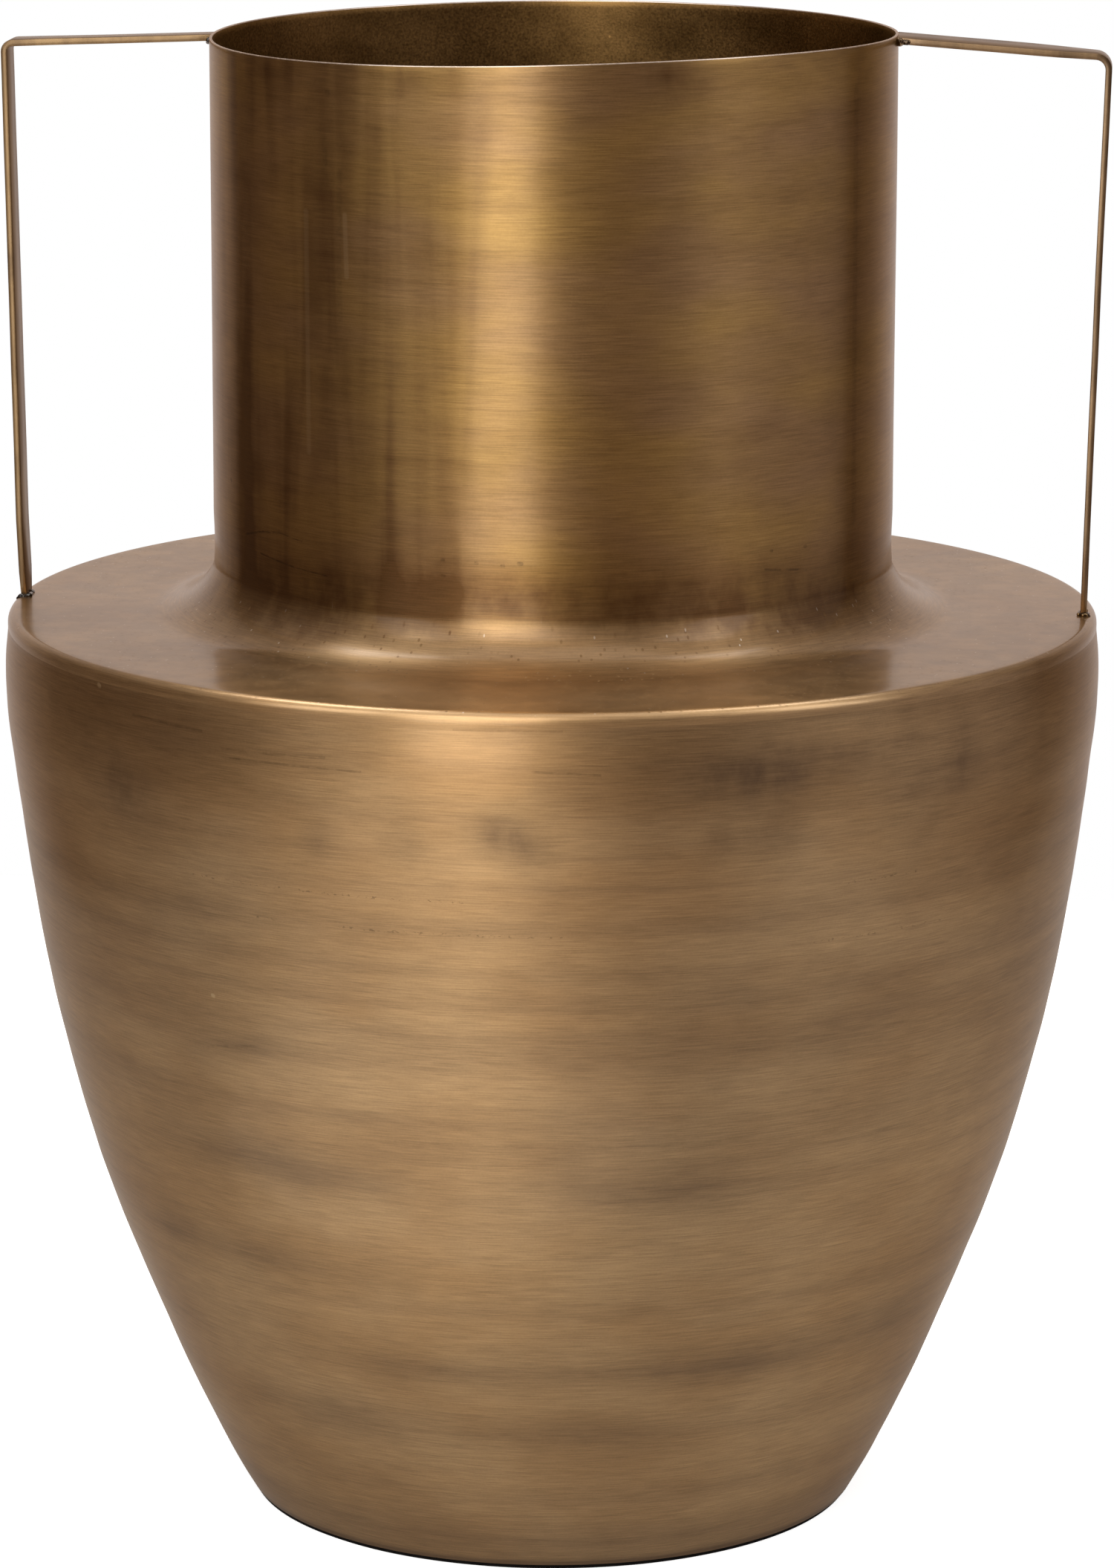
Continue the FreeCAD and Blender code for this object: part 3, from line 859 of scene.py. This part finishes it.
# bare metal, painted paler still as a highlight
BARE_CUT_AND_HIGHLIGHT = (0.72, 0.62, 0.54, 1.0)


def raw_inside(name):
    """Dull olive brass with a grain of dust and metal glitter."""
    paint = Brass(name)
    grain = paint.grains(1400.0)
    clouds = paint.blotches(30.0, 20.0, 5.0)
    colour = paint.blend(paint.ramp(clouds, 0.35, 0.7), OLIVE, DARK_OLIVE)
    dots = paint.pits(4.0, 0.08, 0.14, 0.18)
    colour = paint.shade(colour, (grain - 0.5) * 0.9 + 1.0 + dots * 0.8)
    return paint.done(paint.surface(colour, 0.38 + (grain - 0.5) * 0.3, grain, 0.03))


inner_brass = raw_inside("dull_inner_brass")
lip_paint = Brass("bare_cut_lip_and_highlight")
lip_grain = lip_paint.grains(700.0)
lip_colour = lip_paint.shade(BARE_CUT_AND_HIGHLIGHT, (lip_grain - 0.5) * 0.5 + 1.0)
bare_lip_and_highlight = lip_paint.done(lip_paint.surface(lip_colour, 0.34 + (lip_grain - 0.5) * 0.2, lip_grain, 0.01))

# %% [markdown]
# ## The belly
#
# The belly is one disc spun into a tapering bowl, open at the foot and at the shoulder seam. Its outline
# goes through radii that were measured at each height; it is fullest just under the shoulder.

# %% Spin the belly
SEAM_RADIUS = 168.9
BELLY_TOP = 276.9
BELLY_OUTLINE = ((96.5, 1.4), (99.4, 6.4), (101.6, 10.4), (104.1, 15.2), (106.5, 20.2), (111.3, 30.2),
                 (115.9, 40.2), (124.2, 60.2), (132.1, 80.0), (139.6, 100.0), (145.9, 120.0), (151.2, 140.0),
                 (155.9, 160.0), (159.7, 180.0), (162.9, 200.0), (165.7, 220.0), (168.15, 240.0),
                 (169.3, 250.0), (169.7, 258.0), (169.8, 264.0), (169.6, 270.0), (169.2, 274.0),
                 (SEAM_RADIUS, BELLY_TOP))
belly = turned_sheet(outline("belly_line", BELLY_OUTLINE, 6))
finish_piece("belly", belly, (body_brass, inner_brass), "spun_brass", "body_shell", patina_and_painted_light=True)

# %% [markdown]
# ## The shoulder
#
# The shoulder plate has a small rounded edge, a flat top and a large fillet that meets a short straight
# collar at a soft crease. It is drawn in arcs, because those were the shapes of the spinner's roller and
# form.

# %% Spin the shoulder plate
def arc_points(centre, radius, first_degree, last_degree, steps):
    """Points of an arc in the half outline, as (radius, height) pairs."""
    for step in range(steps + 1):
        angle = math.radians(first_degree + (last_degree - first_degree) * step / steps)
        yield centre[0] + radius * math.cos(angle), centre[1] + radius * math.sin(angle)


SHOULDER_FOOT = 278.1
SHOULDER_TOP = 282.3
COLLAR_TOP = 313.36
SHOULDER_OUTLINE = [(SEAM_RADIUS, SHOULDER_FOOT), *arc_points((165.9, 279.3), 3.0, 0.0, 90.0, 6),
                    *((radius, SHOULDER_TOP) for radius in (158.0, 150.0, 142.0, 133.0)),
                    *arc_points((125.06, 303.3), 21.0, 270.0, 199.0, 9),
                    *((NECK_RADIUS, height) for height in (298.2, 303.0, 308.0, COLLAR_TOP))]
shoulder = turned_sheet(outline("shoulder_line", SHOULDER_OUTLINE, 3))
finish_piece("shoulder", shoulder, (shoulder_brass, inner_brass), "spun_brass", "shoulder_plate",
             patina_and_painted_light=True)

# %% [markdown]
# ## The neck
#
# The neck is a plain tube, but its rim was trimmed by hand: the lip is nearly three millimetres lower at the
# front left than at the front right. The tube is made true first and the two edges of the lip are rounded
# with a bevel, because a bare cut edge catches a thin line of light. Then the rows are let down towards the
# lip.

# %% Spin the neck and trim its lip
NECK_FOOT = 314.56
NECK_TOP = 461.0
NECK_ROWS = 12
LIP_LEVEL = 459.63
LIP_WAVES = ((1.02, 0.13), (-0.27, -0.56), (-0.20, -0.04))
LIP_ROUNDING = 0.30


def lip_height(angle):
    """The height of the lip in millimetres at an angle in radians, a level and three gentle waves."""
    return LIP_LEVEL + sum(c * math.cos(n * angle) + s * math.sin(n * angle)
                           for n, (c, s) in enumerate(LIP_WAVES, 1))


neck = turned_sheet(outline("neck_line", [
    (NECK_RADIUS, NECK_FOOT + (NECK_TOP - NECK_FOOT) * row / NECK_ROWS) for row in range(NECK_ROWS + 1)], 6))
lip_edges = [edge for edge in neck.edges if all(vertex.co.z > (NECK_TOP - 0.1) * MM for vertex in edge.verts)
             and edge.calc_face_angle() > CORNER]
for face in round_edges(neck, lip_edges, LIP_ROUNDING)["faces"]:
    face.material_index = 2
for vertex in neck.verts:
    reach = (vertex.co.z / MM - NECK_FOOT) / (NECK_TOP - NECK_FOOT)
    vertex.co.z += MM * reach * (lip_height(math.atan2(vertex.co.y, vertex.co.x)) - NECK_TOP)
print("lip edges rounded:", len(lip_edges))
finish_piece("neck", neck, (neck_brass, inner_brass, bare_lip_and_highlight), "neck_brass", "neck_tube", patina_and_painted_light=True)

# %% [markdown]
# ## The two seams
#
# The belly, shoulder and neck are joined edge to edge by welds that were ground flush, so each seam is a
# narrow ring of filler metal with the same finish as its neighbours.

# %% Spin the two seam rings
def seam_ring(name, radius, low, high, brass, node):
    """A ring of weld as thick as the sheet, between two heights in millimetres."""
    line = [(radius, low), (radius, (low + high) / 2), (radius, high)]
    ring = turned_sheet(outline(name + "_line", line, 1))
    finish_piece(name, ring, (brass, inner_brass), "weld", node, patina_and_painted_light=True)


seam_ring("collar_seam", NECK_RADIUS, COLLAR_TOP, NECK_FOOT, neck_brass, "collar_weld")
seam_ring("shoulder_seam", SEAM_RADIUS, BELLY_TOP, SHOULDER_FOOT, body_brass, "shoulder_weld")

# %% [markdown]
# ## The handles
#
# Each handle is a flat strip, 12 mm wide and 2 mm thick: a nearly level arm from the rim, one tight bend
# and a long leg down to the shoulder, narrowed by grinding just above its foot. They were bent by hand and
# differ a little, so each has its own measured line. The line of the outer face is drawn first, pulled out
# sideways into a ribbon, rounded at the corner and given its thickness inwards. A bevel breaks the edges.
# The ribbon is also cut across in even steps, because a bend or a twist needs points along the strip.

# %% Bend the two strips
STRIP_BREADTH = 12.0
STRIP_THICKNESS = 2.0
STRIP_EDGE = 0.32
BEND_STEPS = 8
FOOT_LENGTH = 8.0
FOOT_TOP = SHOULDER_TOP + FOOT_LENGTH
FOOT_BREADTH = 8.6
LEG_CUTS = (FOOT_TOP, *range(305, 445, 12))
ARM_CUTS = range(114, 162, 8)
# heights or reaches between which the arm or the leg begins or ends
ARM_UNDERSIDE = (449.0, 452.0)
ARM_END = (150.0, 166.0)
LEG_START = (288.0, 300.0)
LEG_END = (430.0, 448.0)
WAVER = 0.10
WAVER_LENGTH = 30.0


def cut_across(bm, place, normal):
    """Cuts the edges and faces of a ribbon along a plane and keeps both sides."""
    bmesh.ops.bisect_plane(bm, geom=bm.verts[:] + bm.edges[:] + bm.faces[:], plane_co=place, plane_no=normal,
                           dist=1e-7)


def corner_between(arm, leg):
    """Where the arm's line and the leg's line meet, as reach and height."""
    (arm_x, arm_z), (end_x, end_z) = arm[0], arm[-1]
    (leg_x, leg_z), (low_x, low_z) = leg[0], leg[-1]
    arm_slope = (end_z - arm_z) / (end_x - arm_x)
    leg_slope = (leg_x - low_x) / (leg_z - low_z)
    height = (arm_z + arm_slope * (leg_x - leg_slope * leg_z - arm_x)) / (1.0 - arm_slope * leg_slope)
    return leg_x + leg_slope * (height - leg_z), height


def bend_by_hand(bm, side, arm, twist):
    """Twists the arm by an angle in degrees and lets the whole strip waver a little."""
    (arm_x, arm_z), (end_x, end_z) = arm[0], arm[-1]
    arm_slope = (end_z - arm_z) / (end_x - arm_x)
    for vertex in bm.verts:
        reach, height = abs(vertex.co.x) / MM, vertex.co.z / MM
        on_arm = smooth_step(height, *ARM_UNDERSIDE) * (1.0 - smooth_step(reach, *ARM_END))
        on_leg = (1.0 - on_arm) * smooth_step(height, *LEG_START) * (1.0 - smooth_step(height, *LEG_END))
        angle = math.radians(twist) * on_arm
        across = vertex.co.y / MM
        rise = height - (arm_z + arm_slope * (reach - arm_x) - STRIP_THICKNESS / 2)
        # the side is a part of the noise's place, so that the two strips waver differently
        waver = WAVER * noise.noise(Vector((reach / WAVER_LENGTH, side * 3.0, height / WAVER_LENGTH)))
        vertex.co.z += MM * on_arm * (across * math.sin(angle) + rise * (math.cos(angle) - 1.0) + waver)
        vertex.co.x += MM * side * waver * on_leg


def bend_strip(name, side, arm, leg, inner_bend, twist, finish, node):
    """A handle from its arm's top line and its leg's outer line, as (reach, height) pairs in millimetres."""
    bm = bmesh.new()
    line = [*arm, corner_between(arm, leg), *leg]
    knots = [bm.verts.new(metres(side * reach, -STRIP_BREADTH / 2, height)) for reach, height in line]
    corner = knots[len(arm)]
    pulled = bmesh.ops.extrude_edge_only(bm, edges=[bm.edges.new(pair) for pair in zip(knots, knots[1:])])
    moved = [item for item in pulled["geom"] if isinstance(item, bmesh.types.BMVert)]
    bmesh.ops.translate(bm, verts=moved, vec=metres(0.0, STRIP_BREADTH, 0.0))
    bend = [edge for edge in corner.link_edges if len(edge.link_faces) == 2]
    round_edges(bm, bend, inner_bend + STRIP_THICKNESS, BEND_STEPS)
    for height in LEG_CUTS:
        cut_across(bm, metres(0, 0, height), (0, 0, 1))
    for reach in ARM_CUTS:
        cut_across(bm, metres(side * reach, 0, 0), (1, 0, 0))
    bmesh.ops.recalc_face_normals(bm, faces=bm.faces[:])
    if max(bm.faces, key=lambda face: face.calc_center_median().z).normal.z < 0:
        bmesh.ops.reverse_faces(bm, faces=bm.faces[:])
    bmesh.ops.solidify(bm, geom=bm.faces[:], thickness=STRIP_THICKNESS * MM)
    narrow = (1.0 - FOOT_BREADTH / STRIP_BREADTH) / FOOT_LENGTH
    for vertex in bm.verts:
        vertex.co.y *= 1.0 - narrow * max(FOOT_TOP - vertex.co.z / MM, 0.0)
    bm.normal_update()
    long_edges = [edge for edge in bm.edges if len(edge.link_faces) == 2 and edge.calc_face_angle() > CORNER]
    round_edges(bm, long_edges, STRIP_EDGE)
    bend_by_hand(bm, side, arm, twist)
    finish_piece(name, bm, (finish,), "strap_brass", node)


# %% [markdown]
# The strips were rubbed lengthwise, and their flats stayed darker than the vessel. Lines along the leg are
# noise that is short in X and Y and long in Z.

# %% Finish the two strips
def strap_finish(name, rubbed, dull):
    """Satin strip brass with lengthwise rubbing and darker flats."""
    paint = Brass(name)
    fine = paint.cloud(paint.stretched(900.0, 900.0, 60.0), 2.0)
    clouds = paint.blotches(9.0, 22.0, 6.0, 4.0, 0.3)
    dark = paint.ramp(clouds, 0.38, 0.70, 0.05, 0.75)
    colour = paint.shade(paint.blend(dark, rubbed, dull), (fine - 0.5) * 0.3 + 1.0)
    return paint.done(paint.surface(colour, 0.34 + (fine - 0.5) * 0.12, fine, 0.01, coat=0.3))


left_brass = strap_finish("left_strap_satin", rubbed=(0.27, 0.180, 0.092, 1.0), dull=(0.12, 0.075, 0.040, 1.0))
right_brass = strap_finish("right_strap_satin", rubbed=(0.26, 0.172, 0.096, 1.0),
                           dull=(0.13, 0.085, 0.050, 1.0))
bend_strip("left_strap", -1, arm=((104.7, 458.30), (147.0, 456.80)),
           leg=((169.88, 445.5), (168.9, 376.7), (167.8, 306.8), (166.85, 281.3)),
           inner_bend=1.6, twist=-1.0, finish=left_brass, node="left_handle")
bend_strip("right_strap", 1, arm=((104.7, 459.95), (145.7, 456.90)),
           leg=((169.90, 449.2), (167.95, 381.5), (166.25, 312.7), (165.60, 281.9)),
           inner_bend=2.8, twist=3.5, finish=right_brass, node="right_handle")

# %% [markdown]
# ## The welds at the handles' ends
#
# Each end of a strip is held by a few drops of weld that ran together, burnt dark. A drop is a sphere that
# is pressed and stretched. Overlapping drops are melted into one closed skin by a voxel remesh, and a
# little noise makes the skin lumpy. The left welds are burnt black, the right ones only brown.

# %% Drops that melt together
VOXEL = 0.22
LUMP_SIZE = 0.9
LUMP_HEIGHT = 0.18


def soften(bm, factor):
    """Draws every point of a bmesh towards its neighbours."""
    bmesh.ops.smooth_vert(bm, verts=bm.verts[:], factor=factor, use_axis_x=True, use_axis_y=True,
                          use_axis_z=True)


def melt(bm, name):
    """Joins overlapping closed drops into one closed skin, and gives it back as a bmesh."""
    mesh = bpy.data.meshes.new(name + "_drops")
    bm.to_mesh(mesh)
    bm.free()
    holder = bpy.data.objects.new(name + "_drops", mesh)
    bpy.context.scene.collection.objects.link(holder)
    remesh = holder.modifiers.new("melt", "REMESH")
    remesh.mode = "VOXEL"
    remesh.voxel_size = VOXEL * MM
    melted = bpy.data.meshes.new_from_object(holder.evaluated_get(bpy.context.evaluated_depsgraph_get()))
    result = bmesh.new()
    result.from_mesh(melted)
    bpy.data.objects.remove(holder)
    bpy.data.meshes.remove(mesh)
    bpy.data.meshes.remove(melted)
    return result


def weld_drops(name, drops, finish, node):
    """A weld from drops, each a centre and three half sizes in millimetres."""
    bm = bmesh.new()
    for centre, size in drops:
        matrix = Matrix.Translation(metres(*centre)) @ Matrix.Diagonal((*[v * MM for v in size], 1.0))
        bmesh.ops.create_icosphere(bm, subdivisions=3, radius=1.0, matrix=matrix)
    bm = melt(bm, name)
    soften(bm, 0.5)
    bm.normal_update()
    for vertex in bm.verts:
        vertex.co += vertex.normal * noise.noise(vertex.co / (LUMP_SIZE * MM)) * LUMP_HEIGHT * MM
    soften(bm, 0.3)
    finish_piece(name, bm, (finish,), "weld", node)


# %% Burn the welds and set them in place
def weld_finish(name, dark, light, roughness, coat):
    """Burnt weld metal, dark, with a few bare bright spots scattered by noise."""
    paint = Brass(name)
    spots = paint.grains(900.0)
    colour = paint.blend(paint.ramp(spots, 0.52, 0.66), dark, light)
    return paint.done(paint.surface(colour, roughness + (spots - 0.5) * 0.2, spots, 0.12, coat=coat,
                                    coat_roughness=0.08))


burnt_weld = weld_finish("burnt_weld", dark=(0.012, 0.010, 0.009, 1.0), light=(0.05, 0.035, 0.022, 1.0),
                         roughness=0.25, coat=1.0)
brown_weld = weld_finish("brown_weld", dark=(0.05, 0.028, 0.012, 1.0), light=(0.30, 0.19, 0.08, 1.0),
                         roughness=0.30, coat=0.6)
weld_drops("left_foot_bead", (
    ((-166.1, -4.3, 282.2), (1.9, 1.3, 1.05)), ((-164.6, -3.9, 282.6), (1.3, 1.2, 0.9)),
    ((-167.5, -3.9, 281.6), (1.0, 1.1, 0.9)), ((-164.5, -1.5, 282.5), (0.9, 2.2, 0.7)),
    ((-164.6, 2.0, 282.5), (0.9, 2.2, 0.7)), ((-166.0, 4.3, 282.2), (1.6, 1.0, 0.8)),
    ((-167.4, 0.0, 281.5), (0.8, 3.4, 0.6))), burnt_weld, "left_foot_weld")
weld_drops("right_foot_bead", (
    ((164.8, -4.3, 282.6), (1.6, 1.1, 1.0)), ((163.3, -3.6, 282.6), (0.9, 1.0, 0.6)),
    ((166.1, -4.0, 282.1), (0.7, 0.9, 0.7)), ((163.5, 0.0, 282.5), (0.7, 3.6, 0.5)),
    ((164.8, 4.2, 282.5), (1.2, 0.8, 0.6)), ((166.0, 0.0, 282.0), (0.6, 3.4, 0.5))),
    brown_weld, "right_foot_weld")
weld_drops("left_rim_bead", (
    ((-105.7, -3.0, 456.0), (1.0, 3.3, 0.9)), ((-105.7, 2.6, 456.1), (1.0, 3.4, 0.9)),
    ((-105.4, -6.0, 456.7), (0.9, 0.9, 1.0)), ((-105.6, 6.0, 456.6), (0.8, 0.8, 0.9))),
    burnt_weld, "left_rim_weld")
weld_drops("right_rim_bead", (
    ((105.7, -3.2, 457.6), (1.1, 3.2, 1.0)), ((105.8, 2.6, 457.7), (1.0, 3.4, 0.9)),
    ((105.7, -6.1, 458.4), (1.1, 0.9, 1.2)), ((107.6, -5.9, 458.2), (1.5, 0.7, 1.0)),
    ((105.6, 6.0, 458.2), (0.9, 0.8, 0.9))), brown_weld, "right_rim_weld")

# %% [markdown]
# ## The pad under the foot
#
# A thin disc of black felt-like rubber keeps the metal off the table. It is a circle, extruded up, with its
# upper rim bevelled and its edge cut a little unevenly. Its lower edge stays sharp, because the photograph
# shows it as a crisp black line on the paper.

# %% Cut the pad
PAD_RADIUS = 95.5
PAD_THICKNESS = 1.4
PAD_EDGE = 0.20
PAD_UNEVENNESS = 0.002
PAD_RIM = 90.0
PAD_BLACK = (0.009, 0.008, 0.008, 1.0)

pad_paint = Finish("black_pad")
pad_grain = pad_paint.grains(1200.0, 3.0)
pad_colour = pad_paint.shade(PAD_BLACK, (pad_grain - 0.5) * 1.2 + 1.0)
black_pad = pad_paint.done(pad_paint.node("ShaderNodeBsdfPrincipled", None, {
    "Base Color": pad_colour, "Roughness": 0.8 + (pad_grain - 0.5) * 0.2, "Specular IOR Level": 0.1,
    "Normal": pad_paint.bump(pad_grain, 0.2)}))

pad = bmesh.new()
bmesh.ops.create_circle(pad, cap_ends=True, segments=192, radius=PAD_RADIUS * MM)
raised = bmesh.ops.extrude_face_region(pad, geom=pad.faces[:])
top_points = [item for item in raised["geom"] if isinstance(item, bmesh.types.BMVert)]
bmesh.ops.translate(pad, verts=top_points, vec=metres(0.0, 0.0, PAD_THICKNESS))
bmesh.ops.recalc_face_normals(pad, faces=pad.faces[:])
pad.normal_update()
upper_rim = [edge for edge in pad.edges if edge.calc_face_angle() > CORNER
             and all(vertex.co.z > PAD_THICKNESS / 2 * MM for vertex in edge.verts)]
round_edges(pad, upper_rim, PAD_EDGE)
for vertex in pad.verts:
    if math.hypot(vertex.co.x, vertex.co.y) > PAD_RIM * MM:
        uneven = 1.0 - PAD_UNEVENNESS * (0.5 + noise.noise(vertex.co.normalized() * 3.0))
        vertex.co.x *= uneven
        vertex.co.y *= uneven
finish_piece("foot_pad", pad, (black_pad,), "pad", "base_pad")

# %% [markdown]
# ## Pieces that stay as the CAD made them
#
# The bottom disc and the weld round it are plain shapes inside the vase. They stay, and get the dull brass
# of the inside.

# %% Give the CAD pieces their finish
for node_name in ("base_plate", "base_weld"):
    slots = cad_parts[node_name].data.materials
    slots.clear()
    slots.append(inner_brass)
print("kept from CAD: base_plate, base_weld")
